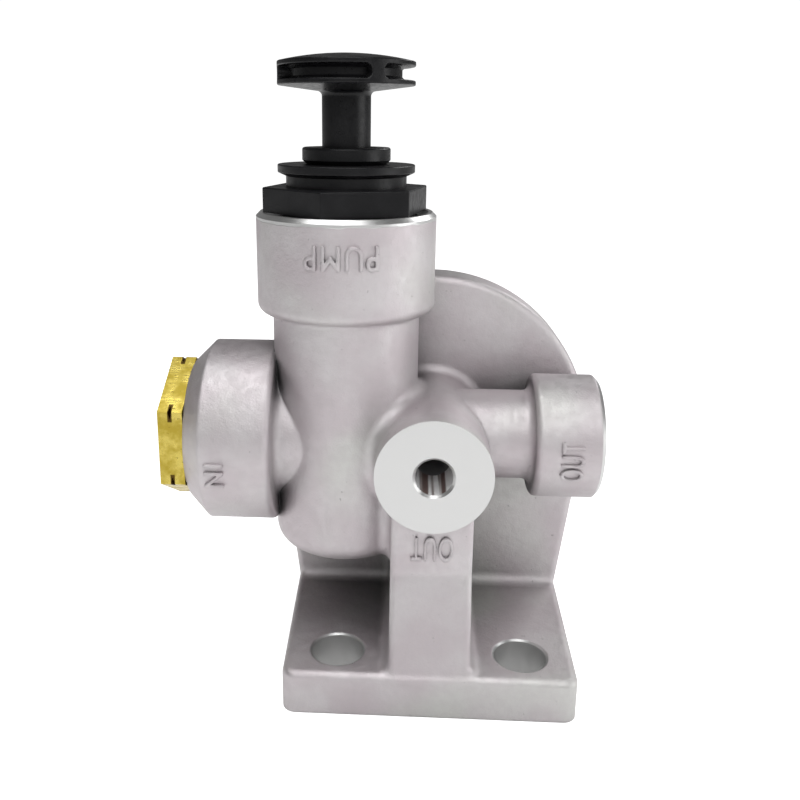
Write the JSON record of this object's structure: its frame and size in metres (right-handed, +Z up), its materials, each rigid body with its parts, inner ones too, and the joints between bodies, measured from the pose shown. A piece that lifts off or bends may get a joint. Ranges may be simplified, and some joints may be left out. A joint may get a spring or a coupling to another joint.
{
  "type": "hand primer pump",
  "caption": "Fuel hand primer pump: cast bracket with inlet boss, front and side outlets, foot bolt holes, and a sprung push knob in a screwed-in plastic barrel.",
  "frame": {"origin": "midway between the two foot bolt holes, on the underside of the base", "axes": "+Z up along the pump axis, +X to the right outlet, -Y to the front outlet; the rear wall is at +Y"},
  "size_m": [0.1109, 0.057, 0.1564],
  "materials": {
    "cast_aluminium": "as cast, matte satin, machined faces brighter",
    "black_plastic": "moulded, satin black",
    "gland_plastic": "moulded, satin black",
    "knob_plastic": "moulded, satin black",
    "seal_rubber": "nitrile, matte",
    "plated_steel": "zinc plated",
    "brass": "turned and milled, bright",
    "valve_nylon": "natural nylon"
  },
  "bodies": {
    "pump_body": {"housing": "cast_aluminium", "pump_barrel": "black_plastic", "gland_cap": "gland_plastic", "wiper_ring": "seal_rubber", "barrel_oring": "seal_rubber", "gland_oring": "seal_rubber", "return_spring": "plated_steel", "inlet_fitting": "brass", "inlet_oring": "seal_rubber", "inlet_valve_spring": "plated_steel", "outlet_valve_spring": "plated_steel", "outlet_valve_stop": "plated_steel"},
    "spring_carrier": {"spring_cup": "plated_steel"},
    "plunger": {"knob": "knob_plastic", "plunger_rod": "plated_steel", "piston": "valve_nylon", "piston_oring": "seal_rubber", "piston_washer": "plated_steel", "piston_nut": "plated_steel"},
    "inlet_valve": {"inlet_valve_disc": "valve_nylon"},
    "outlet_valve": {"outlet_valve_disc": "valve_nylon"}
  },
  "joints": [
    {"name": "plunger_press", "type": "slide", "parent": "pump_body", "child": "spring_carrier", "axis": [0, 0, 1], "range_m": [-0.0115, 0], "stiffness_N_per_m": 700, "springref_m": 0.012, "deforming": ["return_spring"]},
    {"name": "knob_turn", "type": "hinge", "parent": "spring_carrier", "child": "plunger", "pos_m": [-0.0225, 0.022, 0.11], "axis": [0, 0, 1], "continuous": true},
    {"name": "inlet_valve_lift", "type": "slide", "parent": "pump_body", "child": "inlet_valve", "axis": [1, 0, 0], "range_m": [0, 0.0015], "stiffness_N_per_m": 100, "springref_m": -0.002, "deforming": ["inlet_valve_spring"]},
    {"name": "outlet_valve_lift", "type": "slide", "parent": "pump_body", "child": "outlet_valve", "axis": [1, 0, 0], "range_m": [0, 0.0015], "stiffness_N_per_m": 60, "springref_m": -0.003, "deforming": ["outlet_valve_spring"]}
  ]
}
